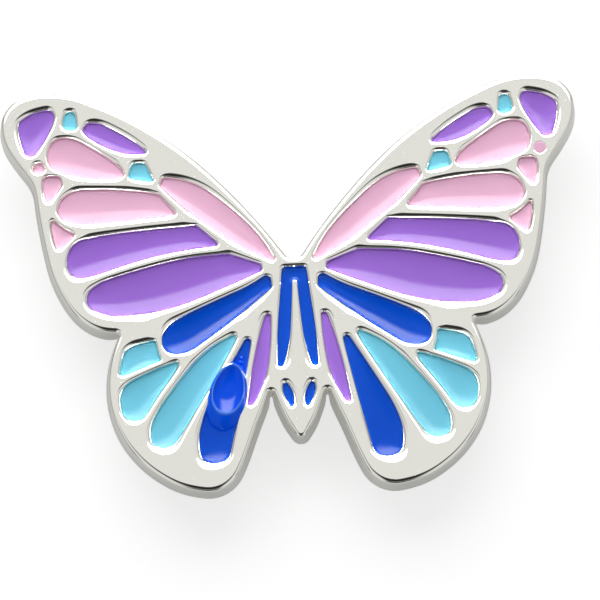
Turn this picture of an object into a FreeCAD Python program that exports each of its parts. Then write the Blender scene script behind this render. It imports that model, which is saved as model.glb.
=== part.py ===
"""Butterfly brooch: an enamelled metal plate with a bar pin on its back, lying face up."""

import FreeCAD
import Part

import math
import os

# ---- driving dimensions (mm) -------------------------------------------------------------
PLATE_THICKNESS = 2.0
POCKET_DEPTH = 0.9
ENAMEL_BELOW_TOP = 0.35
OUTER_RIM = 0.3
BACK_RIM = 0.15
CELL_RIM = 0.22
SMALL_CELL_RIM = 0.14

PIN_AXIS_HEIGHT = 1.3
HOUSING_OUTER = 1.6
HOUSING_INNER = 1.2
BAR_LENGTH = 24.0
BAR_WIDTH = 3.4
BAR_THICKNESS = 0.6
BAR_HOLE = 0.8
SOLDER_THICKNESS = 0.25

HINGE_X = 10.2
EAR_INNER_Y = 0.95
EAR_THICKNESS = 0.5
EAR_HALF_WIDTH = 1.1
RIVET_RADIUS = 0.40
RIVET_HEAD = 0.75
RIVET_HEAD_THICKNESS = 0.25
KNUCKLE_RADIUS = 1.0
KNUCKLE_HALF_WIDTH = 0.75
KNUCKLE_BORE = 0.45

STEM_RADIUS = 0.42
STEM_ROOT_RADIUS = 0.62
STEM_ROOT_END = 8.4
STEM_TAPER_START = -7.5
STEM_POINT = -11.8
STEM_POINT_RADIUS = 0.1

CATCH_X = -10.2
HOUSING_LENGTH = 1.6
HOUSING_OPENING = 75.0
ROLLER_RADIUS = 1.12
ROLLER_BORE = 0.62
ROLLER_SLOT = 0.9
FLANGE_RADIUS = 1.35
FLANGE_THICKNESS = 0.25
FLANGE_GAP = 0.1
TAB_ANGLE = 57.0
TAB_REACH = 1.95
TAB_THICKNESS = 0.45
TAB_LENGTH = 1.2

MIDDLE_Y = 0.245

# ---- heights worked out from them --------------------------------------------------------
BAR_BOTTOM = PIN_AXIS_HEIGHT + HOUSING_OUTER
BAR_TOP = BAR_BOTTOM + BAR_THICKNESS
PLATE_BACK = BAR_TOP + SOLDER_THICKNESS
PLATE_TOP = PLATE_BACK + PLATE_THICKNESS
ENAMEL_TOP = PLATE_TOP - ENAMEL_BELOW_TOP
POCKET_FLOOR = PLATE_TOP - POCKET_DEPTH

# ---- right half of the plate's edge, from the cleft between the forewings to the tail ----
EDGE = [
    (0.42, 2.10, 0.35), (1.62, 3.85), (4.40, 7.25), (7.60, 10.35), (11.60, 13.02),
    (15.30, 14.66), (17.70, 14.86), (19.52, 14.30), (20.40, 13.05), (20.25, 11.25),
    (19.20, 9.55), (18.10, 8.15), (17.95, 6.35), (17.55, 3.75), (16.95, 1.00),
    (15.58, -1.45), (13.95, -2.68), (12.35, -2.80, 0.18), (12.90, -4.05), (13.30, -5.80),
    (13.30, -7.75), (12.65, -10.10), (11.05, -12.30), (8.60, -13.95), (6.10, -14.42),
    (4.65, -13.65), (3.85, -12.00), (3.10, -9.95), (2.44, -8.45), (2.08, -7.38, 0.14),
    (1.86, -7.38, 0.14), (1.48, -8.42), (0.98, -9.70), (0.0, -11.10, 0.5),
]

# ---- right-hand cells: node name, rim radius, outline corners ----------------------------
FOREWING = {
    "tip": (CELL_RIM, [
        (16.46, 13.84, 0.48), (18.42, 13.45), (19.15, 12.85, 0.6), (19.12, 11.70),
        (18.45, 9.82, 0.43), (16.97, 12.05)]),
    "small_tip": (SMALL_CELL_RIM, [
        (15.00, 12.12, 0.25), (15.92, 12.20, 0.3), (15.98, 12.95), (15.72, 13.50, 0.25),
        (15.20, 13.50, 0.25)]),
    "upper_margin": (CELL_RIM, [
        (10.03, 10.24, 0.12), (11.30, 10.16), (12.95, 10.72), (14.20, 11.55), (14.62, 12.15, 0.3),
        (14.25, 12.62, 0.4), (13.45, 12.62), (12.20, 11.92), (11.20, 11.28)]),
    "large_drop": (CELL_RIM, [
        (11.74, 8.46, 0.33), (13.50, 8.42), (15.70, 8.80), (17.00, 9.30), (17.15, 10.60),
        (16.75, 11.50), (15.50, 11.65), (14.40, 11.02), (12.50, 9.68), (11.86, 9.00)]),
    "margin_drop": (SMALL_CELL_RIM, [
        (16.24, 8.78, 0.35), (17.52, 8.78, 0.38), (17.50, 7.70), (17.30, 6.88, 0.12),
        (17.05, 6.87, 0.12), (16.24, 8.10, 0.4)]),
    "long_band": (CELL_RIM, [
        (8.15, 5.62, 0.16), (11.80, 5.30), (14.60, 5.18), (16.10, 5.30), (16.60, 6.25),
        (16.25, 7.15), (15.30, 7.72), (13.20, 7.68), (11.00, 7.48), (9.42, 7.15, 0.15)]),
    "margin_triangle": (SMALL_CELL_RIM, [
        (15.42, 4.45, 0.1), (16.25, 4.85), (17.03, 5.66, 0.08), (17.02, 4.40),
        (16.68, 3.28, 0.12)]),
    "small_costal": (SMALL_CELL_RIM, [
        (9.68, 8.08, 0.12), (11.42, 8.42, 0.2), (11.20, 9.50, 0.4), (10.32, 9.50, 0.35)]),
    "long_costal": (CELL_RIM, [
        (1.25, 1.80, 0.15), (3.60, 2.98), (6.50, 5.12), (8.50, 6.98), (9.25, 7.85, 0.3),
        (9.00, 8.36, 0.25), (7.60, 8.22), (5.80, 7.30), (3.60, 5.25), (2.10, 3.50)]),
    "upper_band": (CELL_RIM, [
        (5.22, 3.24, 0.14), (7.20, 3.10), (9.60, 2.70), (12.20, 2.05), (14.30, 1.36),
        (15.60, 1.25), (16.10, 2.10), (15.98, 3.20), (15.30, 3.98), (13.60, 4.28),
        (10.80, 4.55), (6.82, 4.74, 0.12)]),
    "lower_band": (CELL_RIM, [
        (2.36, 1.24, 0.12), (5.20, 0.08), (8.00, -0.98), (10.60, -1.50), (13.20, -1.58),
        (14.70, -0.90), (14.75, 0.20), (13.70, 0.92), (10.80, 1.72), (7.80, 2.38),
        (4.62, 2.56, 0.5), (2.36, 1.72, 0.15)]),
}

HINDWING = {
    "upper": (CELL_RIM, [
        (1.70, 0.05, 0.3), (3.40, -1.35), (6.20, -3.38), (7.90, -4.50), (9.20, -4.45),
        (9.60, -3.40), (9.05, -2.35), (7.60, -1.66), (5.00, -0.56), (3.20, 0.15),
        (2.05, 0.88, 0.18), (1.72, 0.72, 0.18)]),
    "notched": (SMALL_CELL_RIM, [
        (10.00, -3.48, 0.12), (11.60, -3.78), (12.15, -4.12), (12.52, -5.20), (12.58, -5.98, 0.18),
        (11.80, -5.72), (9.66, -4.92, 0.1), (9.98, -4.25)]),
    "short": (SMALL_CELL_RIM, [
        (8.36, -5.00, 0.14), (10.30, -5.64), (12.15, -6.52), (12.62, -7.30), (12.50, -8.60),
        (11.90, -9.20), (11.10, -9.10), (10.20, -7.70), (8.60, -5.58)]),
    "long": (CELL_RIM, [
        (4.18, -3.16, 0.14), (6.30, -4.18), (8.20, -6.20), (9.90, -8.40), (10.60, -9.80),
        (10.45, -11.05), (9.10, -11.20), (8.05, -9.65), (5.90, -6.28), (4.50, -3.88)]),
    "inner": (CELL_RIM, [
        (3.28, -3.70, 0.16), (3.62, -3.66, 0.16), (5.20, -6.32), (6.60, -8.75), (7.20, -10.50),
        (7.05, -12.10), (6.10, -12.45), (5.15, -12.15), (4.50, -9.30), (3.65, -5.60)]),
    "slender": (SMALL_CELL_RIM, [
        (1.83, -1.85, 0.14), (2.18, -2.00, 0.2), (2.70, -3.70), (3.20, -5.80), (3.68, -8.50, 0.14),
        (3.25, -8.30), (2.30, -6.40), (1.88, -3.80)]),
    "almond": (SMALL_CELL_RIM, [
        (0.96, -6.76, 0.1), (1.16, -7.20), (1.00, -7.80), (0.58, -8.70, 0.1), (0.36, -8.20),
        (0.55, -7.35)]),
}

DOT_CENTRE = (17.79, 9.42)
DOT_RADIUS_LEFT = 0.39
DOT_RADIUS_RIGHT = 0.46

# right half of the inverted V in the body, round the outside and back up beside the tongue
WISHBONE = [
    (0.80, 1.42, 0.16), (0.98, -0.30), (1.30, -3.00), (1.42, -5.70, 0.14), (1.05, -5.65, 0.2),
    (0.58, -4.10), (0.38, -1.80), (0.22, 0.50, 0.18),
]

DROP_CENTRE = (-4.95, -7.55)
DROP_HALF_WIDTH = 1.3
DROP_HALF_LENGTH = 2.45
DROP_HALF_HEIGHT = 0.8
DROP_LEAN = 14.5


# ---- outlines ----------------------------------------------------------------------------
def point(x, y, z=0.0):
    """A drawing point, moved so that the plate's outline is centred on the frame."""
    return FreeCAD.Vector(x, y - MIDDLE_Y, z)


def mirrored(corners):
    """The same outline on the other side of the middle plane, in reversed order."""
    return [(-c[0],) + tuple(c[1:]) for c in reversed(corners)]


def corner_reaches(corners, turns, lengths):
    """How far each corner's arc runs back along its two sides; no radius means as far as fits."""
    n = len(corners)
    fixed = [len(c) > 2 for c in corners]
    reaches = [0.0] * n
    for i in range(n):
        if fixed[i]:
            room = min(
                lengths[i - 1] * (0.5 if fixed[i - 1] else 0.8),
                lengths[i] * (0.5 if fixed[(i + 1) % n] else 0.8),
            )
            reaches[i] = min(corners[i][2] * math.tan(turns[i] / 2), room)
    for i in range(n):
        if not fixed[i]:
            before = lengths[i - 1] - reaches[i - 1] if fixed[i - 1] else lengths[i - 1] / 2
            after = lengths[i] - reaches[(i + 1) % n] if fixed[(i + 1) % n] else lengths[i] / 2
            reaches[i] = min(before, after)
    return reaches


def rounded_loop(corners, z):
    """Closed wire of straight runs and tangent arcs round the corners (x, y[, radius])."""
    n = len(corners)
    points = [point(c[0], c[1], z) for c in corners]
    sides = [points[(i + 1) % n] - points[i] for i in range(n)]
    turns = [sides[i - 1].getAngle(sides[i]) for i in range(n)]
    lengths = [side.Length for side in sides]
    reaches = corner_reaches(corners, turns, lengths)
    edges = []
    arcs = []
    for i in range(n):
        came = FreeCAD.Vector(sides[i - 1]).normalize()
        goes = FreeCAD.Vector(sides[i]).normalize()
        start = points[i] - came * reaches[i]
        end = points[i] + goes * reaches[i]
        radius = reaches[i] / math.tan(turns[i] / 2)
        inward = (goes - came).normalize()
        middle = points[i] + inward * (radius / math.cos(turns[i] / 2) - radius)
        arcs.append((start, middle, end))
    for i in range(n):
        start, middle, end = arcs[i]
        edges.append(Part.Arc(start, middle, end).toShape())
        following = arcs[(i + 1) % n][0]
        if end.distanceToPoint(following) > 1e-5:
            edges.append(Part.LineSegment(end, following).toShape())
    return Part.Wire(edges)


def dot_loop(side, radius, z):
    """Round cell near a forewing's edge."""
    centre = point(side * DOT_CENTRE[0], DOT_CENTRE[1], z)
    return Part.Wire(Part.makeCircle(radius, centre))


def cell_loops(z):
    """Every cell's wire at a height, as name -> (rim radius, wire)."""
    loops = {}
    for wing, cells in (("forewing", FOREWING), ("hindwing", HINDWING)):
        for name, (rim, corners) in cells.items():
            kind = "body" if name == "almond" else wing
            loops[f"enamel_{kind}_{name}_right"] = (rim, rounded_loop(corners, z))
            loops[f"enamel_{kind}_{name}_left"] = (rim, rounded_loop(mirrored(corners), z))
    loops["enamel_forewing_dot_left"] = (SMALL_CELL_RIM, dot_loop(-1, DOT_RADIUS_LEFT, z))
    loops["enamel_forewing_dot_right"] = (0.0, dot_loop(1, DOT_RADIUS_RIGHT, z))
    wishbone = WISHBONE + mirrored(WISHBONE)
    loops["enamel_body_wishbone"] = (SMALL_CELL_RIM, rounded_loop(wishbone, z))
    return loops


def edge_loop(z):
    """The plate's whole outer edge."""
    return rounded_loop(EDGE + mirrored(EDGE[:-1]), z)


def prism(wire, height):
    """Solid straight up from a flat wire."""
    return Part.Face(wire).extrude(FreeCAD.Vector(0, 0, height))


# ---- plate, enamel -----------------------------------------------------------------------
def middle_of(edge):
    """An edge's own middle, as a key that survives rounding."""
    p = edge.valueAt((edge.FirstParameter + edge.LastParameter) / 2)
    return (round(p.x, 3), round(p.y, 3), round(p.z, 3))


def fillet_along(solid, wire, radius):
    """Round the solid's edges that lie on a wire."""
    wanted = {middle_of(edge) for edge in wire.Edges}
    edges = [edge for edge in solid.Edges if middle_of(edge) in wanted]
    return solid.makeFillet(radius, edges)


def butterfly_plate():
    """Flat plate with rounded outer edges and a rounded-lipped pocket for each cell."""
    plate = prism(edge_loop(PLATE_BACK), PLATE_THICKNESS)
    plate = fillet_along(plate, edge_loop(PLATE_TOP), OUTER_RIM)
    plate = fillet_along(plate, edge_loop(PLATE_BACK), BACK_RIM)
    floors = cell_loops(POCKET_FLOOR)
    for name, (rim, wire) in floors.items():
        plate = plate.cut(prism(wire, POCKET_DEPTH + 0.5))
    for name, (rim, wire) in cell_loops(PLATE_TOP).items():
        if rim > 0:
            plate = fillet_along(plate, wire, rim)
    return plate


def enamel_fills():
    """One fill for each cell, from the pocket's floor up; the right dot is flush with the metal."""
    fills = {}
    for name, (rim, wire) in cell_loops(POCKET_FLOOR).items():
        height = POCKET_DEPTH if rim == 0 else POCKET_DEPTH - ENAMEL_BELOW_TOP
        fills[name] = prism(wire, height)
    return fills


def raised_drop(plate):
    """Blob of enamel standing over the left inner hindwing cell and its lips."""
    blob = Part.makeSphere(1.0)
    shape = FreeCAD.Matrix()
    shape.scale(DROP_HALF_WIDTH, DROP_HALF_LENGTH, DROP_HALF_HEIGHT)
    blob = blob.transformGeometry(shape)
    blob.rotate(FreeCAD.Vector(0, 0, 0), FreeCAD.Vector(0, 0, 1), -DROP_LEAN)
    blob.translate(point(DROP_CENTRE[0], DROP_CENTRE[1], ENAMEL_TOP))
    above = Part.makeBox(10, 10, 5, point(DROP_CENTRE[0] - 5, DROP_CENTRE[1] - 5, ENAMEL_TOP))
    pieces = blob.common(above).cut(plate)
    return max(pieces.Solids, key=lambda solid: solid.Volume)


# ---- bar pin on the back -----------------------------------------------------------------
def y_cylinder(radius, x, z, y0, y1):
    """Cylinder along Y."""
    return Part.makeCylinder(radius, y1 - y0, FreeCAD.Vector(x, y0, z), FreeCAD.Vector(0, 1, 0))


def x_cylinder(radius, x0, x1):
    """Cylinder along the pin's own line."""
    start = FreeCAD.Vector(x0, 0, PIN_AXIS_HEIGHT)
    return Part.makeCylinder(radius, x1 - x0, start, FreeCAD.Vector(1, 0, 0))


def hinge_ear(side):
    """Ear hanging from the bar to the ground, round at its foot and drilled for the rivet."""
    y0 = EAR_INNER_Y if side > 0 else -EAR_INNER_Y - EAR_THICKNESS
    foot = y_cylinder(EAR_HALF_WIDTH, HINGE_X, EAR_HALF_WIDTH, y0, y0 + EAR_THICKNESS)
    corner = FreeCAD.Vector(HINGE_X - EAR_HALF_WIDTH, y0, EAR_HALF_WIDTH)
    height = BAR_BOTTOM - EAR_HALF_WIDTH + BAR_THICKNESS / 2
    web = Part.makeBox(2 * EAR_HALF_WIDTH, EAR_THICKNESS, height, corner)
    hole = y_cylinder(RIVET_RADIUS + 0.01, HINGE_X, PIN_AXIS_HEIGHT, y0 - 1, y0 + EAR_THICKNESS + 1)
    return foot.fuse(web).cut(hole)


def catch_housing():
    """C-shaped sleeve under the bar, open on the side away from the plate."""
    x0 = CATCH_X - HOUSING_LENGTH / 2
    x1 = CATCH_X + HOUSING_LENGTH / 2
    sleeve = x_cylinder(HOUSING_OUTER, x0, x1)
    foot_height = HOUSING_OUTER + BAR_THICKNESS / 2
    foot = Part.makeBox(
        HOUSING_LENGTH, 2.0, foot_height, FreeCAD.Vector(x0, -1.0, PIN_AXIS_HEIGHT))
    sleeve = sleeve.fuse(foot).cut(x_cylinder(HOUSING_INNER, x0 - 1, x1 + 1))
    reach = 3.0
    side = reach * math.tan(math.radians(HOUSING_OPENING))
    wedge_points = [
        FreeCAD.Vector(x0 - 1, 0, PIN_AXIS_HEIGHT),
        FreeCAD.Vector(x0 - 1, side, PIN_AXIS_HEIGHT - reach),
        FreeCAD.Vector(x0 - 1, -side, PIN_AXIS_HEIGHT - reach),
    ]
    wedge = Part.Face(Part.makePolygon(wedge_points + wedge_points[:1]))
    return sleeve.cut(wedge.extrude(FreeCAD.Vector(HOUSING_LENGTH + 2, 0, 0)))


def pin_bar():
    """Soldered strip with the hinge ears at one end and the catch housing at the other."""
    corner = FreeCAD.Vector(-BAR_LENGTH / 2, -BAR_WIDTH / 2, BAR_BOTTOM)
    strip = Part.makeBox(BAR_LENGTH, BAR_WIDTH, BAR_THICKNESS, corner)
    uprights = [
        e for e in strip.Edges
        if abs(e.Vertexes[0].Point.z - e.Vertexes[1].Point.z) > BAR_THICKNESS / 2
    ]
    strip = strip.makeFillet(0.8, uprights)
    for x in (-4.0, 4.0):
        centre = FreeCAD.Vector(x, 0, BAR_BOTTOM - 1)
        strip = strip.cut(Part.makeCylinder(BAR_HOLE, BAR_THICKNESS + 2, centre))
    bar = strip.fuse([hinge_ear(-1), hinge_ear(1), catch_housing()])
    return bar.removeSplitter()


def solder_pad(x):
    """Flat pad of solder between the bar and the plate."""
    centre = FreeCAD.Vector(x, 0, BAR_TOP)
    return Part.makeCylinder(1.7, SOLDER_THICKNESS, centre)


def hinge_rivet():
    """Rivet through both ears, with a head outside each."""
    outside = EAR_INNER_Y + EAR_THICKNESS
    shank = y_cylinder(RIVET_RADIUS, HINGE_X, PIN_AXIS_HEIGHT, -outside, outside)
    heads = [
        y_cylinder(RIVET_HEAD, HINGE_X, PIN_AXIS_HEIGHT, outside, outside + RIVET_HEAD_THICKNESS),
        y_cylinder(RIVET_HEAD, HINGE_X, PIN_AXIS_HEIGHT, -outside - RIVET_HEAD_THICKNESS, -outside),
    ]
    return shank.fuse(heads)


def pin_stem():
    """Wire with a rolled knuckle round the rivet, a thicker root, a long run and a tapered point."""
    knuckle = y_cylinder(
        KNUCKLE_RADIUS, HINGE_X, PIN_AXIS_HEIGHT, -KNUCKLE_HALF_WIDTH, KNUCKLE_HALF_WIDTH)
    root = x_cylinder(STEM_ROOT_RADIUS, STEM_ROOT_END, HINGE_X)
    wire = x_cylinder(STEM_RADIUS, STEM_TAPER_START, STEM_ROOT_END)
    taper = Part.makeCone(
        STEM_RADIUS, STEM_POINT_RADIUS, STEM_TAPER_START - STEM_POINT,
        FreeCAD.Vector(STEM_TAPER_START, 0, PIN_AXIS_HEIGHT), FreeCAD.Vector(-1, 0, 0))
    bore = y_cylinder(KNUCKLE_BORE, HINGE_X, PIN_AXIS_HEIGHT, -2, 2)
    return knuckle.fuse([root, wire, taper]).cut(bore)


def catch_roller():
    """Slotted roller inside the housing, with an end flange each side and a thumb tab."""
    half = HOUSING_LENGTH / 2 + FLANGE_GAP
    barrel = x_cylinder(ROLLER_RADIUS, CATCH_X - half, CATCH_X + half)
    flanges = [
        x_cylinder(FLANGE_RADIUS, CATCH_X - half - FLANGE_THICKNESS, CATCH_X - half),
        x_cylinder(FLANGE_RADIUS, CATCH_X + half, CATCH_X + half + FLANGE_THICKNESS),
    ]
    tab = Part.makeBox(
        TAB_LENGTH, TAB_THICKNESS, TAB_REACH,
        FreeCAD.Vector(CATCH_X - TAB_LENGTH / 2, -TAB_THICKNESS / 2, PIN_AXIS_HEIGHT - TAB_REACH))
    tab.rotate(
        FreeCAD.Vector(CATCH_X, 0, PIN_AXIS_HEIGHT), FreeCAD.Vector(1, 0, 0), TAB_ANGLE)
    whole = barrel.fuse(flanges + [tab])
    length = 2 * (half + FLANGE_THICKNESS + 1)
    slot = Part.makeBox(
        length, ROLLER_SLOT, 3.0,
        FreeCAD.Vector(CATCH_X - length / 2, -ROLLER_SLOT / 2, PIN_AXIS_HEIGHT - 3.0))
    bore = x_cylinder(ROLLER_BORE, CATCH_X - length / 2, CATCH_X + length / 2)
    return whole.cut(slot).cut(bore)


def build():
    """Make every node and write one STEP file for each."""
    plate = butterfly_plate()
    nodes = {"butterfly_plate": plate}
    nodes.update(enamel_fills())
    nodes["enamel_raised_drop"] = raised_drop(plate)
    nodes["pin_bar"] = pin_bar()
    nodes["solder_pad_hinge_end"] = solder_pad(8.2)
    nodes["solder_pad_catch_end"] = solder_pad(-8.2)
    nodes["hinge_rivet"] = hinge_rivet()
    nodes["pin_stem"] = pin_stem()
    nodes["catch_roller"] = catch_roller()
    os.makedirs("parts", exist_ok=True)
    for name, shape in nodes.items():
        if not shape.isValid() or len(shape.Solids) != 1:
            raise ValueError(f"{name}: valid {shape.isValid()}, solids {len(shape.Solids)}")
        shape.Solids[0].exportStep(os.path.join("parts", name + ".step"))
    print(len(nodes), "nodes written")


build()
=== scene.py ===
"""Looks of a butterfly brooch: a polished plate with recessed enamel cells and a bar pin on its back."""

from __future__ import annotations

import logging
import math
from dataclasses import dataclass, field
from enum import Enum

import bpy
import numpy as np
from mathutils import Matrix, Vector, geometry


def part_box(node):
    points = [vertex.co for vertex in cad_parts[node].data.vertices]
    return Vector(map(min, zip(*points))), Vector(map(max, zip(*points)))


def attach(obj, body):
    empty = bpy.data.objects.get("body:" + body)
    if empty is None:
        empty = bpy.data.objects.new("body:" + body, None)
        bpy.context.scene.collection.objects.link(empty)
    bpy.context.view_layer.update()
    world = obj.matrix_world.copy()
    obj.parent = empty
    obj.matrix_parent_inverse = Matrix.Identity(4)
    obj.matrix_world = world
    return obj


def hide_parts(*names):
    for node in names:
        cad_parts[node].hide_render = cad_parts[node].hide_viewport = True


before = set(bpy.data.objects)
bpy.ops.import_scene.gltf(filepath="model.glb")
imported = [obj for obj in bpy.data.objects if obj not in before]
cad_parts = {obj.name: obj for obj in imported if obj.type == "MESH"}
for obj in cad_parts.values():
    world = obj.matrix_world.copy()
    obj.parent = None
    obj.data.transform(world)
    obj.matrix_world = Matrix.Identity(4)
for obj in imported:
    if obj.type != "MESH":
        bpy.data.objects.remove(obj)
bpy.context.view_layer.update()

LOG = logging.getLogger("brooch")
MM = 0.001
Array = np.ndarray
Socket = bpy.types.NodeSocket


# ---- mesh helpers ------------------------------------------------------------------------
def cad_triangles(node: str) -> tuple[Array, Array]:
    """A CAD node's mesh with its loose triangles joined.

    Args:
        node: name of the node.

    Returns:
        Corner places in mm (n, 3) and triangles as corner numbers (m, 3).
    """
    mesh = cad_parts[node].data
    places = np.empty(len(mesh.vertices) * 3)
    mesh.vertices.foreach_get("co", places)
    mesh.calc_loop_triangles()
    corners = np.empty(len(mesh.loop_triangles) * 3, int)
    mesh.loop_triangles.foreach_get("vertices", corners)
    places = np.round(places.reshape(-1, 3) / MM, 4)
    joined, where = np.unique(places, axis=0, return_inverse=True)
    return joined, where.reshape(-1)[corners].reshape(-1, 3)


def ring_order(starts: Array, ends: Array) -> Array:
    """Order in which directed links follow each other round one ring, by repeated doubling of jumps.

    Args:
        starts: corner number at which each link starts.
        ends: corner number at which each link ends.

    Returns:
        The corner numbers in order round the ring.
    """
    links = np.argsort(starts)
    starts, ends = starts[links], ends[links]
    jump = np.searchsorted(starts, ends)
    steps = np.ones(len(starts), int)
    last = np.flatnonzero(jump == 0)
    jump[last] = last
    steps[last] = 0
    for _ in range(int(math.ceil(math.log2(len(starts)))) + 1):
        steps = steps + steps[jump]
        jump = jump[jump]
    return starts[np.argsort(-steps)]


def wall_ring(node: str, height: float) -> Array:
    """Ring along the top of a node's upright wall.

    Args:
        node: name of the node.
        height: height of the wall's top edge in mm.

    Returns:
        Points (n, 2) in mm, anticlockwise.
    """
    places, triangles = cad_triangles(node)
    level = np.abs(places[triangles, 2] - height) < 0.002
    lowest = places[triangles, 2].min(1)
    walls = (level.sum(1) == 2) & (lowest < height - 0.01)
    low_corner = np.argmin(level[walls], axis=1)
    rows = np.arange(len(low_corner))
    starts = triangles[walls][rows, (low_corner + 1) % 3]
    ends = triangles[walls][rows, (low_corner + 2) % 3]
    ring = places[ring_order(starts, ends), :2]
    return ring if signed_area(ring) > 0 else ring[::-1]


def signed_area(ring: Array) -> float:
    """Area inside a ring, positive when it runs anticlockwise."""
    after = np.roll(ring, -1, axis=0)
    return 0.5 * float(np.sum(ring[:, 0] * after[:, 1] - after[:, 0] * ring[:, 1]))


def softened(values: Array, width: float) -> Array:
    """Smooth samples that run round a ring, with a bell curve as the weight.

    Args:
        values: samples (n,) or (n, k), evenly spaced.
        width: standard deviation of the bell, in samples.

    Returns:
        The smoothed samples.
    """
    waves = np.fft.fftfreq(len(values)).reshape((-1,) + (1,) * (values.ndim - 1))
    weight = np.exp(-0.5 * (2 * math.pi * waves * width) ** 2)
    return np.fft.ifft(np.fft.fft(values, axis=0) * weight, axis=0).real


def evenly(ring: Array, step: float, least: int = 48) -> Array:
    """Points at even distances along a ring.

    Args:
        ring: points (n, 2).
        step: wanted distance.
        least: fewest points.

    Returns:
        The new points.
    """
    closed = np.vstack([ring, ring[:1]])
    along = np.concatenate([[0.0], np.cumsum(np.hypot(*np.diff(closed, axis=0).T))])
    count = max(least, int(round(along[-1] / step)))
    places = np.arange(count) * along[-1] / count
    return np.column_stack([np.interp(places, along, closed[:, k]) for k in (0, 1)])


def flowing(ring: Array, step: float) -> Array:
    """A ring with its facets smoothed away, but its tight corners kept.

    Args:
        ring: points (n, 2) of a polygon that stands for a smooth outline.
        step: distance between the new points.

    Returns:
        The new points.
    """
    calm_width, crisp_width, blend_width = 0.17, 0.055, 0.1
    corner_from, corner_span = 0.003, 0.012
    fine = evenly(ring, step / 2)
    spacing = np.hypot(*(fine[1] - fine[0]))
    calm, crisp = (softened(fine, width / spacing) for width in (calm_width, crisp_width))
    moved = np.hypot(*(calm - crisp).T)
    corner = softened(np.clip((moved - corner_from) / corner_span, 0, 1), blend_width / spacing)[:, None]
    return evenly(calm + (crisp - calm) * np.clip(corner, 0, 1), step)


def step_across(values: Array) -> Array:
    """From the sample before to the sample after each one, round a ring."""
    return np.roll(values, -1, axis=0) - np.roll(values, 1, axis=0)


def ring_normals(ring: Array) -> Array:
    """Unit vectors that point out of an anticlockwise ring."""
    tangent = step_across(ring)
    tangent /= np.hypot(*tangent.T)[:, None]
    return np.column_stack([tangent[:, 1], -tangent[:, 0]])


def inside(points: Array, ring: Array) -> Array:
    """Which points lie within a ring, by counting the sides that a ray towards +X crosses."""
    x0, y0 = ring.T
    x1, y1 = np.roll(ring, -1, axis=0).T
    x, y = points[:, :1], points[:, 1:]
    spans = (y0 > y) != (y1 > y)
    rise = np.where(y1 == y0, 1.0, y1 - y0)
    return (np.sum(spans & (x < (x1 - x0) * (y - y0) / rise + x0), axis=1) % 2).astype(bool)


def filled(rings: list[Array], loose: Array | None = None) -> Array:
    """Triangles inside the first ring and outside the others, which keep every ring's sides.

    Three corners on one ring that follow each other in its own direction lie inside it.

    Args:
        rings: closed anticlockwise rings of points (n, 2).
        loose: further points (m, 2).

    Returns:
        Anticlockwise triangles as point numbers, counted through the rings and then the rest.
    """
    points = np.vstack(rings if loose is None else rings + [loose])
    starts = np.cumsum([0] + [len(ring) for ring in rings])
    spans = list(zip(starts[:-1], starts[1:]))
    sides = np.vstack([
        np.column_stack([np.arange(a, b), np.roll(np.arange(a, b), -1)]) for a, b in spans])
    found = geometry.delaunay_2d_cdt(points.tolist(), sides.tolist(), [], 0, 1e-7)
    number = np.array([group[0] if group else -1 for group in found[3]])
    if (number < 0).any():
        LOG.warning("rings cross at %s", [found[0][k] for k in np.flatnonzero(number < 0)[:5]])
    triangles = number[np.array(found[2])]
    triangles = triangles[(triangles >= 0).all(1)]
    owner = np.full(len(points), -1)
    for k, (a, b) in enumerate(spans):
        owner[a:b] = k
    a, b, c = triangles.T
    onward = (a < b).astype(int) + (b < c) + (c < a) == 2
    same = (owner[a] >= 0) & (owner[a] == owner[b]) & (owner[b] == owner[c])
    return triangles[~same | (onward == (owner[a] == 0))]


def grid_faces(rows: int, columns: int, first: int = 0) -> Array:
    """Four-sided faces of a grid of points whose columns close into a ring.

    Args:
        rows: rows of points.
        columns: points in a row.
        first: number of the grid's first point.

    Returns:
        Faces ((rows - 1) * columns, 4), turned outwards when rows go down round an anticlockwise ring.
    """
    row = np.arange(rows - 1)[:, None] * columns
    here = np.arange(columns)[None]
    after = np.roll(here, -1, axis=1)
    quads = np.stack([row + here, row + columns + here, row + columns + after, row + after], -1)
    return first + quads.reshape(-1, 4)


# ---- closed shapes -----------------------------------------------------------------------
AXES_ALONG_Z = [(1, 0, 0), (0, 1, 0), (0, 0, 1)]
AXES_ALONG_X = [(0, 1, 0), (0, 0, 1), (1, 0, 0)]
AXES_ALONG_Y = [(0, 0, 1), (1, 0, 0), (0, 1, 0)]


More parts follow.
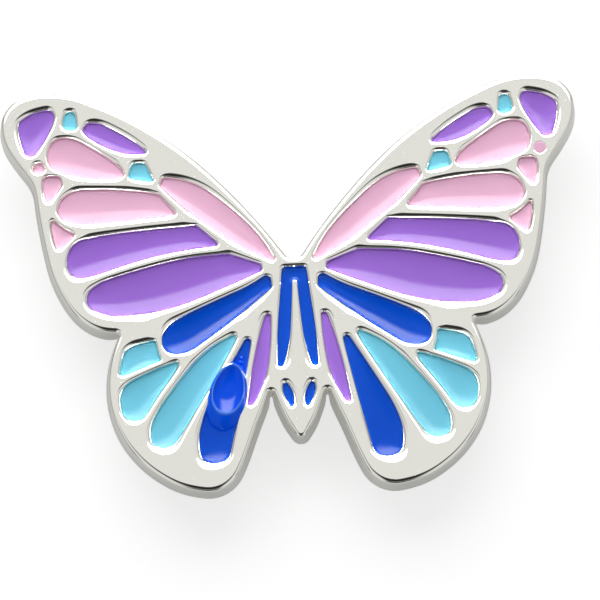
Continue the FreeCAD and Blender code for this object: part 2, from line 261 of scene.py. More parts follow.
@dataclass
class Shape:
    """A closed surface: corner places in mm, with its round faces and its flat faces."""

    places: Array
    round_faces: list[Array]
    flat_faces: list[Array] = field(default_factory=list)

    def stood(self, origin: tuple[float, float, float], axes: list[tuple[float, float, float]]) -> Shape:
        """The shape carried from its own axes to others.

        Args:
            origin: where its own origin goes, in mm.
            axes: where its own X, Y and Z directions go, right-handed.

        Returns:
            The carried shape.
        """
        moved = self.places @ np.array(axes, float) + np.array(origin, float)
        return Shape(moved, self.round_faces, self.flat_faces)

    def piece(
            self, name: str, body: str, node: str, slot: str, *materials: bpy.types.Material
    ) -> bpy.types.Object:
        """Make the mesh object, at the origin, which stands for a CAD node and rides on a body.

        Args:
            name: name of the piece.
            body: body that it moves with.
            node: CAD node that it stands for.
            slot: material slot in the record; not used.
            materials: its materials, in order.

        Returns:
            The new object.
        """
        faces = self.round_faces + self.flat_faces
        counts = np.concatenate([np.full(len(f), f.shape[1]) for f in faces])
        corners = np.concatenate([f.reshape(-1) for f in faces])
        mesh = bpy.data.meshes.new(name)
        mesh.vertices.add(len(self.places))
        mesh.vertices.foreach_set("co", (self.places * MM).reshape(-1))
        mesh.loops.add(len(corners))
        mesh.loops.foreach_set("vertex_index", corners)
        mesh.polygons.add(len(counts))
        mesh.polygons.foreach_set("loop_start", np.concatenate([[0], np.cumsum(counts)[:-1]]))
        mesh.polygons.foreach_set("loop_total", counts)
        mesh.update(calc_edges=True)
        mesh.validate()
        smooth = np.arange(len(counts)) < sum(len(f) for f in self.round_faces)
        mesh.polygons.foreach_set("use_smooth", smooth)
        for material in materials:
            mesh.materials.append(material)
        made = bpy.data.objects.new(name, mesh)
        bpy.context.scene.collection.objects.link(made)
        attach(made, body)
        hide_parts(node)
        return made


def walled(grids: list[Array]) -> tuple[Shape, Array]:
    """A shape, still open, with the first grid as its outside and the others round its holes.

    Args:
        grids: points (rows, n, 3), whose rows go down round anticlockwise rings.

    Returns:
        The shape, and the number of each grid's first point.
    """
    firsts = np.cumsum([0] + [len(grid.reshape(-1, 3)) for grid in grids])
    strips = [
        grid_faces(*grid.shape[:2], first)[:, ::-1 if first else 1]
        for grid, first in zip(grids, firsts)]
    return Shape(np.vstack([grid.reshape(-1, 3) for grid in grids]), strips), firsts


def cover(grids: list[Array], firsts: Array | list[int], row: int) -> Array:
    """Triangles that close one row of the first grid, round the same row of the others.

    Args:
        grids: points (rows, n, 3).
        firsts: number of each grid's first point.
        row: the row, 0 or -1.

    Returns:
        Triangles turned upwards.
    """
    numbers = [
        first + row % len(grid) * grid.shape[1] + np.arange(grid.shape[1])
        for first, grid in zip(firsts, grids)]
    return np.concatenate(numbers)[filled([grid[row, :, :2] for grid in grids])]


def room_for_rounding(
        points: Array, into_metal: Array, others: Array, widest: float | Array, share: float
) -> Array:
    """Width of the rounding along an outline, so that roundings that face each other leave a flat.

    The width is the least of the widest, a share of the gap to the nearest outline ahead and 0.8
    of the radius where the outline curls round the metal, smoothed along the ring.

    Args:
        points: the outline (n, 2).
        into_metal: unit vectors (n, 2) towards its metal.
        others: points of all outlines.
        widest: widest rounding in mm.
        share: largest share of the gap.

    Returns:
        The width at each point.
    """
    within_view, of_radius, least = 0.55, 0.8, 0.02
    guard, smoothing = 0.18, 0.16
    away = others[None] - points[:, None]
    reach = np.hypot(away[..., 0], away[..., 1])
    ahead = (away * into_metal[:, None]).sum(-1) > within_view * reach
    gap = np.where(ahead & (reach > 0), reach, 99.0).min(1)
    step = np.hypot(*(np.roll(points, -1, axis=0) - points).T).mean()
    turn, along = step_across(into_metal), step_across(points)
    closing = -(turn * along).sum(1) / (along**2).sum(1)
    radius = 1.0 / np.maximum(closing, 1e-3)
    limit = np.minimum(np.minimum(widest, share * gap), of_radius * radius)
    near = int(round(guard / step))
    limit = np.min([np.roll(limit, k) for k in range(-near, near + 1)], axis=0)
    return np.maximum(softened(limit, smoothing / step), least)


def capped(rows: Array, first_pole: Array, last_pole: Array) -> Shape:
    """A round shape from rings of points and the pole beyond each end.

    Args:
        rows: points (rows, n, 3), anticlockwise seen from the first pole.
        first_pole: point beyond the first row.
        last_pole: point beyond the last row.

    Returns:
        The closed shape.
    """
    count = rows.shape[1]
    here = np.arange(count)
    after = np.roll(here, -1)
    first, last = rows.shape[0] * count, rows.shape[0] * count + 1
    end = (rows.shape[0] - 1) * count
    fans = [
        np.column_stack([np.full(count, first), here, after]),
        np.column_stack([np.full(count, last), end + after, end + here])]
    places = np.vstack([rows.reshape(-1, 3), first_pole, last_pole])
    return Shape(places, [grid_faces(rows.shape[0], count)] + fans)


def turned(profile: Array, columns: int = 48) -> Shape:
    """A shape turned about its own Z axis.

    The profile is carried round the axis: a point at radius r and height h goes to
    (r cos a, r sin a, h).

    Args:
        profile: radius and height (n, 2) from the top pole to the bottom pole.
        columns: steps round the axis.

    Returns:
        The closed shape.
    """
    angle = np.arange(columns) * 2 * math.pi / columns
    radius, height = profile[1:-1, :1], profile[1:-1, 1:]
    rows = np.stack([radius * np.cos(angle), radius * np.sin(angle), height + 0 * angle], axis=2)
    poles = [np.array([0.0, 0.0, profile[k, 1]]) for k in (0, -1)]
    return capped(rows, *poles)


def slab(outer: Array, holes: list[Array], low: float, high: float, rounding: float) -> Shape:
    """A block between two levels with rounded edges, outside and round its holes.

    Each ring is carried inwards by its room times (1 - sin a) while its level falls by rounding
    times (1 - cos a), and the same again upwards from the foot. The room is the rounding, or less
    at tight corners.

    Args:
        outer: outer ring (n, 2), anticlockwise.
        holes: inner rings, anticlockwise.
        low: lower level in mm.
        high: upper level in mm.
        rounding: radius of the edges.

    Returns:
        The closed shape.
    """
    rows, share_of_gap = 6, 0.4
    angle = np.linspace(0, math.pi / 2, rows)
    share, drop = 1 - np.sin(angle), rounding * (1 - np.cos(angle))
    share = np.concatenate([share, share[::-1]])[:, None, None]
    level = np.concatenate([high - drop, low + drop[::-1]])[:, None]
    grids = []
    for ring, into in [(outer, -ring_normals(outer))] + [(r, ring_normals(r)) for r in holes]:
        room = room_for_rounding(ring, into, ring, rounding, share_of_gap)
        flat = ring[None] + (into * room[:, None])[None] * share
        grids.append(np.dstack([flat, np.broadcast_to(level, flat.shape[:2])]))
    shape, firsts = walled(grids)
    shape.flat_faces = [cover(grids, firsts, 0), cover(grids, firsts, -1)[:, ::-1]]
    return shape


def rounded_ring(corners: list[tuple[float, float]] | Array, soft: float, step: float = 0.04) -> Array:
    """An anticlockwise ring through corners, with every corner softened.

    Args:
        corners: the corners.
        soft: width of the softening in mm.
        step: distance between points.

    Returns:
        Points (n, 2).
    """
    ring = evenly(np.array(corners, float), step)
    ring = softened(ring, soft / step)
    return ring if signed_area(ring) > 0 else ring[::-1]


def arc(radius: float, start: float, end: float, steps: int = 60) -> Array:
    """Points on a circle about the origin between two angles in degrees."""
    angle = np.radians(np.linspace(start, end, steps))
    return radius * np.column_stack([np.cos(angle), np.sin(angle)])


# ---- finishes ----------------------------------------------------------------------------
@dataclass
class Wiring:
    """Small steps for joining nodes in one tree."""

    tree: bpy.types.NodeTree

    def node(self, kind: str, **settings: object) -> bpy.types.Node:
        """Add a node and set its properties."""
        made = self.tree.nodes.new(kind)
        for key, value in settings.items():
            setattr(made, key, value)
        return made

    def put(self, socket: Socket, value: object) -> None:
        """Link a socket to an output, or set its value."""
        if isinstance(value, bpy.types.NodeSocket):
            self.tree.links.new(value, socket)
        else:
            socket.default_value = value

    def math(self, operation: str, a: object, b: object = 0.0, clamp: bool = False) -> Socket:
        """A Math node's result."""
        made = self.node("ShaderNodeMath", operation=operation, use_clamp=clamp)
        self.put(made.inputs[0], a)
        self.put(made.inputs[1], b)
        return made.outputs[0]

    def noise(self, vector: object, scale: object, detail: float = 2.0, **settings: float) -> Socket:
        """A Noise Texture's value."""
        made = self.node("ShaderNodeTexNoise")
        self.put(made.inputs["Vector"], vector)
        self.put(made.inputs["Scale"], scale)
        made.inputs["Detail"].default_value = detail
        for key, value in settings.items():
            made.inputs[key].default_value = value
        return made.outputs[0]

    def rise(self, value: object, low: float, high: float) -> Socket:
        """A value that rises smoothly from 0 at low to 1 at high."""
        made = self.node("ShaderNodeMapRange", interpolation_type="SMOOTHSTEP")
        for socket, given in zip(made.inputs, (value, low, high, 0.0, 1.0)):
            self.put(socket, given)
        return made.outputs[0]

    def mix(self, share: object, a: object, b: object) -> Socket:
        """A colour between a and b."""
        made = self.node("ShaderNodeMix", data_type="RGBA")
        self.put(made.inputs[0], share)
        self.put(made.inputs[6], a)
        self.put(made.inputs[7], b)
        return made.outputs[2]

    def stretched(self, vector: object, factors: tuple[float, float, float], turn: float) -> Socket:
        """A pattern's coordinates, turned about Z and stretched."""
        made = self.node("ShaderNodeMapping")
        self.put(made.inputs["Vector"], vector)
        made.inputs["Rotation"].default_value = (0.0, 0.0, turn)
        made.inputs["Scale"].default_value = factors
        return made.outputs[0]


def new_group(name: str, inputs: dict[str, float], *outputs: str) -> tuple[Wiring, object, object, Socket]:
    """A new shader node group whose sockets all hold numbers.

    Args:
        name: name of the group.
        inputs: its inputs and what they start at.
        outputs: its outputs.

    Returns:
        Its wiring, the sockets that it is given, those that it fills, and Object coordinates.
    """
    tree = bpy.data.node_groups.new(name, "ShaderNodeTree")
    for socket, value in inputs.items():
        made = tree.interface.new_socket(name=socket, in_out="INPUT", socket_type="NodeSocketFloat")
        made.default_value = value
    for socket in outputs:
        tree.interface.new_socket(name=socket, in_out="OUTPUT", socket_type="NodeSocketFloat")
    w = Wiring(tree)
    given, filled_in = w.node("NodeGroupInput").outputs, w.node("NodeGroupOutput").inputs
    return w, given, filled_in, w.node("ShaderNodeTexCoord").outputs["Object"]


def hairline_group() -> bpy.types.ShaderNodeTree:
    """Fine handling scratches in three directions: a mask and a height.

    Returns:
        Group with inputs Scale and Amount, and outputs Mask and Height.
    """
    w, given, out, place = new_group("hairlines", {"Scale": 1.0, "Amount": 0.5}, "Mask", "Height")
    total: object = 0.0
    for turn, stretch in ((0.5, 14.0), (-0.9, 18.0), (1.9, 11.0)):
        long_way = w.stretched(place, (1.0, stretch, stretch), turn)
        streak = w.noise(long_way, w.math("MULTIPLY", given["Scale"], 420.0), 3.0, Roughness=0.6)
        patch = w.noise(place, w.math("MULTIPLY", given["Scale"], 300.0))
        line = w.math("MULTIPLY", w.rise(streak, 0.62, 0.72), w.rise(patch, 0.48, 0.62))
        total = w.math("ADD", line, total)
    mask = w.math("MULTIPLY", total, given["Amount"], clamp=True)
    w.put(out["Mask"], mask)
    w.put(out["Height"], w.math("SUBTRACT", 1.0, mask))
    return w.tree


def waviness_group() -> bpy.types.ShaderNodeTree:
    """Long soft waves and a finer ripple, as a height from 0 to 1.

    Returns:
        Group with inputs Wave, Ripple and Share, and output Height.
    """
    w, given, out, place = new_group(
        "waviness", {"Wave": 900.0, "Ripple": 3200.0, "Share": 0.3}, "Height")
    wave = w.noise(place, given["Wave"], 1.0)
    ripple = w.math("MULTIPLY", w.noise(place, given["Ripple"]), given["Share"])
    w.put(out["Height"], w.math("ADD", wave, ripple))
    return w.tree


def cloud_group() -> bpy.types.ShaderNodeTree:
    """Soft clouds of pigment with fine grain, as a share from 0 to 1.

    Returns:
        Group with inputs Cloud, Grain and Contrast, and output Share.
    """
    w, given, out, place = new_group(
        "pigment_clouds", {"Cloud": 350.0, "Grain": 9000.0, "Contrast": 1.0}, "Share")
    cloud = w.math("SUBTRACT", w.noise(place, given["Cloud"], 3.0, Roughness=0.5), 0.5)
    grain = w.math("SUBTRACT", w.noise(place, given["Grain"]), 0.5)
    both = w.math("ADD", cloud, w.math("MULTIPLY", grain, 0.35))
    share = w.math("ADD", w.math("MULTIPLY", both, given["Contrast"]), 0.5, clamp=True)
    w.put(out["Share"], share)
    return w.tree


GROUPS: dict[str, bpy.types.ShaderNodeTree] = {
    "hairlines": hairline_group(), "waviness": waviness_group(), "clouds": cloud_group()}


@dataclass
class Finish:
    """A material under construction: its tree, its shader and its groups."""

    name: str
    material: bpy.types.Material = field(init=False)
    w: Wiring = field(init=False)
    shader: bpy.types.Node = field(init=False)

    def __post_init__(self) -> None:
        """Make an empty material with one Principled shader."""
        self.material = bpy.data.materials.new(self.name)
        self.material.use_nodes = True
        self.w = Wiring(self.material.node_tree)
        self.shader = self.material.node_tree.nodes["Principled BSDF"]

    def feed(self, socket: str, value: object) -> None:
        """Link or set one of the shader's inputs."""
        self.w.put(self.shader.inputs[socket], value)

    def group(self, name: str, **values: float) -> bpy.types.NodeOutputs:
        """Place a shared group with its values.

        Args:
            name: key of the group.
            values: what its inputs are set to.

        Returns:
            The group's outputs.
        """
        made = self.w.node("ShaderNodeGroup", node_tree=GROUPS[name])
        for key, value in values.items():
            made.inputs[key].default_value = value
        return made.outputs

    def relief(self, height: object, depth: float, below: Socket | None = None) -> Socket:
        """A Bump node's normal.

        Args:
            height: value from 0 to 1.
            depth: height of 1 in mm.
            below: normal that it adds to.

        Returns:
            The normal.
        """
        made = self.w.node("ShaderNodeBump")
        made.inputs["Strength"].default_value = 1.0
        made.inputs["Distance"].default_value = depth * MM
        self.w.put(made.inputs["Height"], height)
        if below is not None:
            self.w.put(made.inputs["Normal"], below)
        return made.outputs[0]


@dataclass(frozen=True)
class Metal:
    """Polished or brushed metal with hairlines, soft waves and tarnish in patches."""

    name: str
    colour: tuple[float, float, float]
    dull_colour: tuple[float, float, float]
    roughness: float
    worn_roughness: float
    wave_depth: float
    wave: float = 500.0
    scratches: float = 0.5
    scratch_depth: float = 0.0006

    def material(self) -> bpy.types.Material:
        """Build the material."""
        finish = Finish(self.name)
        w = finish.w
        scratch = finish.group("hairlines", Scale=1.0, Amount=self.scratches)
        clouds = finish.group("clouds", Cloud=260.0, Grain=4000.0, Contrast=1.6)["Share"]
        waves = finish.group("waviness", Wave=self.wave, Ripple=self.wave * 5, Share=0.12)["Height"]
        finish.feed("Base Color", w.mix(clouds, (*self.colour, 1.0), (*self.dull_colour, 1.0)))
        worn = w.math("MULTIPLY", scratch["Mask"], self.worn_roughness - self.roughness)
        cloudy = w.math("MULTIPLY", clouds, self.roughness * 0.5)
        finish.feed("Roughness", w.math("ADD", w.math("ADD", worn, cloudy), self.roughness * 0.75))
        finish.feed("Metallic", 1.0)
        long_waves = finish.relief(waves, self.wave_depth)
        finish.feed("Normal", finish.relief(scratch["Height"], self.scratch_depth, long_waves))
        return finish.material


@dataclass(frozen=True)
class Stippled:
    """Struck metal with a fine pebbled surface, polished only by handling."""

    name: str
    colour: tuple[float, float, float]
    roughness: float
    pebble: float
    depth: float

    def material(self) -> bpy.types.Material:
        """Build the material."""
        finish = Finish(self.name)
        w = finish.w
        place = w.node("ShaderNodeTexCoord").outputs["Object"]
        cells = w.node("ShaderNodeTexVoronoi", feature="SMOOTH_F1")
        w.put(cells.inputs["Vector"], place)
        cells.inputs["Scale"].default_value = self.pebble
        coarse = w.math("MULTIPLY", w.noise(place, self.pebble * 0.4), 0.5)
        height = w.math("ADD", cells.outputs[0], coarse)
        clouds = finish.group("clouds", Cloud=180.0, Grain=3000.0, Contrast=1.8)["Share"]
        dull = tuple(channel * 0.72 for channel in self.colour)
        finish.feed("Base Color", w.mix(clouds, (*self.colour, 1.0), (*dull, 1.0)))
        finish.feed("Roughness", w.math("ADD", w.math("MULTIPLY", clouds, 0.15), self.roughness))
        finish.feed("Metallic", 1.0)
        finish.feed("Normal", finish.relief(height, self.depth))
        return finish.material


@dataclass(frozen=True)
class Glaze:
    """Glossy filled enamel: a clouded pigment under a slightly wavy shine, with a painted highlight
    along a crest that the attribute crest marks: the colour turns paler there."""

    name: str
    slot: str
    colour: tuple[float, float, float]
    pale: tuple[float, float, float]
    wave_depth: float = 0.004
    # colour of the painted highlight along a marked crest
    crest: tuple[float, float, float] = (0.16, 0.38, 0.98)

    def material(self) -> bpy.types.Material:
        """Build the material."""
        finish = Finish(self.name)
        w = finish.w
        clouds = finish.group("clouds", Cloud=420.0, Grain=9000.0, Contrast=0.9)["Share"]
        pigment = w.mix(clouds, (*self.colour, 1.0), (*self.pale, 1.0))
        # painted highlight: the colour pales towards the crest, as far as the attribute crest marks it
        painted_crest_highlight = w.node("ShaderNodeAttribute", attribute_name="crest").outputs["Fac"]
        finish.feed("Base Color", w.mix(painted_crest_highlight, pigment, (*self.crest, 1.0)))
        scratch = finish.group("hairlines", Scale=1.6, Amount=0.25)["Mask"]
        finish.feed("Roughness", w.math("ADD", w.math("MULTIPLY", scratch, 0.10), 0.07))
        finish.feed("IOR", 1.53)
        finish.feed("Specular IOR Level", 0.12)
        waves = finish.group("waviness", Wave=1100.0, Ripple=4200.0, Share=0.28)["Height"]
        finish.feed("Normal", finish.relief(waves, self.wave_depth))
        return finish.material


class Enamel(Enum):
    """The enamel colours of the cells."""

    PURPLE = Glaze("glaze_purple", "enamel_purple", (0.345, 0.156, 0.700), (0.366, 0.172, 0.730))
    PINK = Glaze("glaze_pink", "enamel_pink", (0.890, 0.500, 0.700), (0.915, 0.530, 0.730))
    CYAN = Glaze("glaze_cyan", "enamel_cyan", (0.172, 0.620, 0.810), (0.195, 0.645, 0.835))
    BLUE = Glaze("glaze_blue", "enamel_blue", (0.001, 0.070, 0.600), (0.003, 0.085, 0.640))
    BRIGHT_BLUE = Glaze(
        "glaze_bright_blue", "enamel_bright_blue", (0.000, 0.072, 0.780), (0.000, 0.100, 0.850))


PLATING = Metal(
    "polished_plating", (0.865, 0.862, 0.800), (0.850, 0.846, 0.782), 0.045, 0.10, 0.0025,
    scratches=0.2, scratch_depth=0.0002)
PLATE_BACK_FINISH = Stippled("plating_back", (0.80, 0.79, 0.73), 0.26, 1900.0, 0.030)
FINDING = Metal(
    "finding_metal", (0.80, 0.79, 0.745), (0.66, 0.65, 0.60), 0.16, 0.32, 0.006, wave=700.0,
    scratches=0.9, scratch_depth=0.0012)
PIN_STEEL = Metal(
    "pin_steel", (0.72, 0.73, 0.74), (0.62, 0.63, 0.64), 0.12, 0.30, 0.003, wave=900.0,
    scratches=0.9, scratch_depth=0.0010)
SOLDER = Metal(
    "solder", (0.62, 0.62, 0.61), (0.42, 0.42, 0.42), 0.30, 0.45, 0.030, wave=1200.0,
    scratches=0.2)


GLAZES: dict[Enamel, bpy.types.Material] = {}


def material_of(enamel: Enamel) -> bpy.types.Material:
    """The enamel's material, built the first time it is asked for."""
    if enamel not in GLAZES:
        GLAZES[enamel] = enamel.value.material()
    return GLAZES[enamel]


# ---- plate -------------------------------------------------------------------------------
FLUSH_NODE = "enamel_forewing_dot_right"


@dataclass
class Ring:
    """An outline on the plate with the side on which the metal lies, and the lip rolled along it."""

    node: str
    points: Array
    into_metal: Array
    lip: Array | None = None


@dataclass
class ButterflyPlate:
    """The struck plate: rolled lips round the cells and the edge, upright wall and stippled back."""

    step: float = 0.09
    lip_width: float = 0.80
    upper_lip_width: float = 0.38
    lip_share: float = 0.36
    lip_turn: tuple[float, float] = (0.5, 0.9)
    lip_drop: float = 0.33
    small_lip_width: float = 0.34
    small_cell_points: int = 60
    flush_lip: float = 0.03
    flush_drop: float = 0.012
    rim_width: float = 0.32
    rim_share: float = 0.43
    rim_drop: float = 0.30
    flare: float = 0.20
    flare_share: float = 0.40
    back_rim: float = 0.15
    lip_rows: int = 9
    back_rows: int = 4
    cell_draw: tuple[float, float, float] = (0.004, 0.013, 0.009)
    draw_from: float = 7.2
    draw_to: float = 1.6
    draw_middle: float = -1.2
    top: float = field(init=False)
    bottom: float = field(init=False)
    pocket: float = field(init=False)
    edge: Ring = field(init=False)
    cells: list[Ring] = field(init=False)
    spread: Array = field(init=False)

    def __post_init__(self) -> None:
        """Read the plate's heights and every outline from the frame."""
        low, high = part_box("butterfly_plate")
        self.bottom, self.top = low.z / MM, high.z / MM
        fills = sorted(
            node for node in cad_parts
            if node.startswith("enamel_") and node != "enamel_raised_drop")
        self.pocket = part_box(fills[0])[0].z / MM
        outline = flowing(wall_ring("butterfly_plate", self.top - self.rim_drop), self.step)
        self.edge = Ring("butterfly_plate", outline, -ring_normals(outline))
        self.cells = [self.cell_ring(node) for node in fills]
        everything = np.vstack([ring.points for ring in [self.edge] + self.cells])
        inwards = self.edge.into_metal
        self.edge.lip = room_for_rounding(
            outline, inwards, everything, self.rim_width, self.rim_share)
        self.spread = room_for_rounding(outline, -inwards, outline, self.flare, self.flare_share)
        for ring in self.cells:
            if ring.node == FLUSH_NODE:
                ring.lip = np.full(len(ring.points), self.flush_lip)
                continue
            large = len(ring.points) > self.small_cell_points
            widest = self.lip_width if large else self.small_lip_width
            upper = min(self.upper_lip_width, widest)
            middle, by_side = self.lip_turn
            lower_side = np.clip(middle - by_side * ring.into_metal[:, 1], 0, 1)
            width = upper + (widest - upper) * lower_side
            ring.lip = room_for_rounding(
                ring.points, ring.into_metal, everything, width, self.lip_share)

    def cell_ring(self, node: str) -> Ring:
        """The outline of the cell that an enamel fill sits in, drawn in a little towards the body.

        Across the wings the drawing-in grows from cell_draw[0] in the forewing's tip to cell_draw[1]
        behind the long bands; along them it is cell_draw[2], about the level draw_middle.
        """
        points = flowing(wall_ring(node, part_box(node)[1].z / MM), self.step)
        share = np.clip((self.draw_from - points[:, 1]) / (self.draw_from - self.draw_to), 0, 1)
        near, far, along = self.cell_draw
        points[:, 0] *= 1 - near - (far - near) * share * share * (3 - 2 * share)
        points[:, 1] -= along * (points[:, 1] - self.draw_middle)
        return Ring(node, points, ring_normals(points))

    def lip_rows_of(self, ring: Ring, drop: float, rows: int) -> Array:
        """Points of a rolled lip: a quarter of an ellipse carried along the outline.

        At angle a the lip is width times (1 - sin a) into the metal and drop times (1 - cos a)
        below the top.

        Args:
            ring: the outline.
            drop: height of the lip in mm.
            rows: rows of points.

        Returns:
            Points (rows, n, 3) from the flat edge down to the outline.
        """
        angle = np.linspace(0, math.pi / 2, rows)[:, None]
        inward = ring.lip[None] * (1 - np.sin(angle))
        flat = ring.points[None] + ring.into_metal[None] * inward[..., None]
        height = self.top - drop * (1 - np.cos(angle)) * np.ones_like(inward)
        return np.concatenate([flat, height[..., None]], axis=2)

    def level_row(self, ring: Ring, inward: float | Array, height: float) -> Array:
        """One row of points at a height, some way into the metal from an outline."""
        flat = ring.points + ring.into_metal * np.reshape(inward, (-1, 1))
        return np.column_stack([flat, np.full(len(flat), height)])[None]

    def back_rows_of(self) -> Array:
        """Points of the edge's wall, which spreads towards its foot, and of its rounded back rim."""
        reach = np.minimum(self.back_rim, self.edge.lip)
        angle = np.linspace(math.pi / 2, 0, self.back_rows)
        rows = [
            self.level_row(
                self.edge, reach * (1 - math.sin(a)) - self.spread,
                self.bottom + self.back_rim * (1 - math.cos(a)))
            for a in angle]
        return np.concatenate(rows)

    def build(self) -> bpy.types.Object:
        """Make the plate's closed mesh and dress it."""
        grids = [np.concatenate([
            self.lip_rows_of(self.edge, self.rim_drop, self.lip_rows), self.back_rows_of()])]
        for ring in self.cells:
            drop = self.flush_drop if ring.node == FLUSH_NODE else self.lip_drop
            lip = self.lip_rows_of(ring, drop, self.lip_rows)
            grids.append(np.concatenate([lip, self.level_row(ring, 0.0, self.pocket)]))
        shape, firsts = walled(grids)
        top = cover(grids, firsts, 0)
        floors = [cover([grid], [first], -1) for grid, first in zip(grids[1:], firsts[1:])]
        back = cover(grids[:1], [0], -1)[:, ::-1]
        shape.flat_faces = [top, *floors, back]
        piece = shape.piece(
            "plate", "body", "butterfly_plate", "polished_plating",
            PLATING.material(), PLATE_BACK_FINISH.material())
        on_back = np.zeros(len(piece.data.polygons), int)
        on_back[-len(back):] = 1
        piece.data.polygons.foreach_set("material_index", on_back)
        return piece


# ---- enamel ------------------------------------------------------------------------------
ENAMEL_OF = {
    "forewing_tip": Enamel.PURPLE, "forewing_small_tip": Enamel.CYAN,
    "forewing_upper_margin": Enamel.PURPLE, "forewing_large_drop": Enamel.PINK,
    "forewing_margin_drop": Enamel.PINK, "forewing_long_band": Enamel.PINK,
    "forewing_margin_triangle": Enamel.PINK, "forewing_small_costal": Enamel.CYAN,
    "forewing_long_costal": Enamel.PINK, "forewing_upper_band": Enamel.PURPLE,
    "forewing_lower_band": Enamel.PURPLE, "forewing_dot": Enamel.PINK,
    "hindwing_upper": Enamel.BLUE, "hindwing_notched": Enamel.CYAN, "hindwing_short": Enamel.CYAN,
    "hindwing_long": Enamel.CYAN, "hindwing_inner": Enamel.BLUE, "hindwing_slender": Enamel.PURPLE,
    "body_almond": Enamel.BLUE, "body_wishbone": Enamel.BLUE,
}


@dataclass
class EnamelFill:
    """One cell's enamel: it sags from the lip like a skin and fills the pocket below."""

    ring: Ring
    top: float
    pocket: float
    enamel: Enamel
    spacing: float = 0.1
    clearance: float = 0.6
    edge_below: float = 0.34
    flush_below: float = 0.012
    sag: float = 0.42
    reach: float = 1.0
    rounds: int = 260

    def inner_points(self) -> Array:
        """Points in a pattern of equal triangles, clear of the ring."""
        low, high = self.ring.points.min(0), self.ring.points.max(0)
        row_height = self.spacing * math.sqrt(3) / 2
        rows = np.arange(low[1], high[1], row_height)
        columns = np.arange(low[0], high[0] + self.spacing, self.spacing)
        x = columns[None] + np.where(np.arange(len(rows)) % 2, self.spacing / 2, 0.0)[:, None]
        y = np.broadcast_to(rows[:, None], x.shape)
        points = np.column_stack([x.reshape(-1), y.reshape(-1)])
        points = points[inside(points, self.ring.points)]
        away = np.hypot(*(points[:, None] - self.ring.points[None]).transpose(2, 0, 1)).min(1)
        return points[away > self.clearance * self.spacing]

    def skin(self, triangles: Array, total: int) -> Array:
        """Height of the sagging skin.

        Each inner point settles at the mean of its neighbours, pulled towards a level that lies
        the sag below the edge; the pull fades over the reach, as a meniscus does.

        Args:
            triangles: the surface's triangles.
            total: number of points, the ring's first.

        Returns:
            Height of each point in mm.
        """
        if self.ring.node == FLUSH_NODE:
            return np.full(total, self.top - self.flush_below)
        edge_height = self.top - self.edge_below
        sides = np.unique(np.sort(triangles[:, [0, 1, 1, 2, 2, 0]].reshape(-1, 2), axis=1), axis=0)
        a, b = np.concatenate([sides, sides[:, ::-1]]).T
        degree = np.bincount(a, minlength=total)
        pull = self.spacing**2 / (4 * self.reach**2)
        first_guess = 0.3
        height = np.full(total, edge_height - first_guess * self.sag)
        ring_count = len(self.ring.points)
        height[:ring_count] = edge_height
        for _ in range(self.rounds):
            mean = np.bincount(a, height[b], total) / np.maximum(degree, 1)
            settled = (mean + pull * (edge_height - self.sag)) / (1 + pull)
            height[ring_count:] = settled[ring_count:]
        return height

    def build(self) -> bpy.types.Object:
        """Make the closed fill and dress it."""
        outline, inner = self.ring.points, self.inner_points()
        points = np.vstack([outline, inner])
        upper = filled([outline], inner)
        total, here = len(points), np.arange(len(outline))
        after = np.roll(here, -1)
        lower = total + filled([outline])[:, ::-1]
        wall = np.column_stack([here, here + total, after + total, after])
        places = np.vstack([
            np.column_stack([points, self.skin(upper, total)]),
            np.column_stack([outline, np.full(len(outline), self.pocket)])])
        return Shape(places, [upper], [lower, wall]).piece(
            self.ring.node.replace("enamel_", "glaze_"), "body", self.ring.node,
            self.enamel.value.slot, material_of(self.enamel))


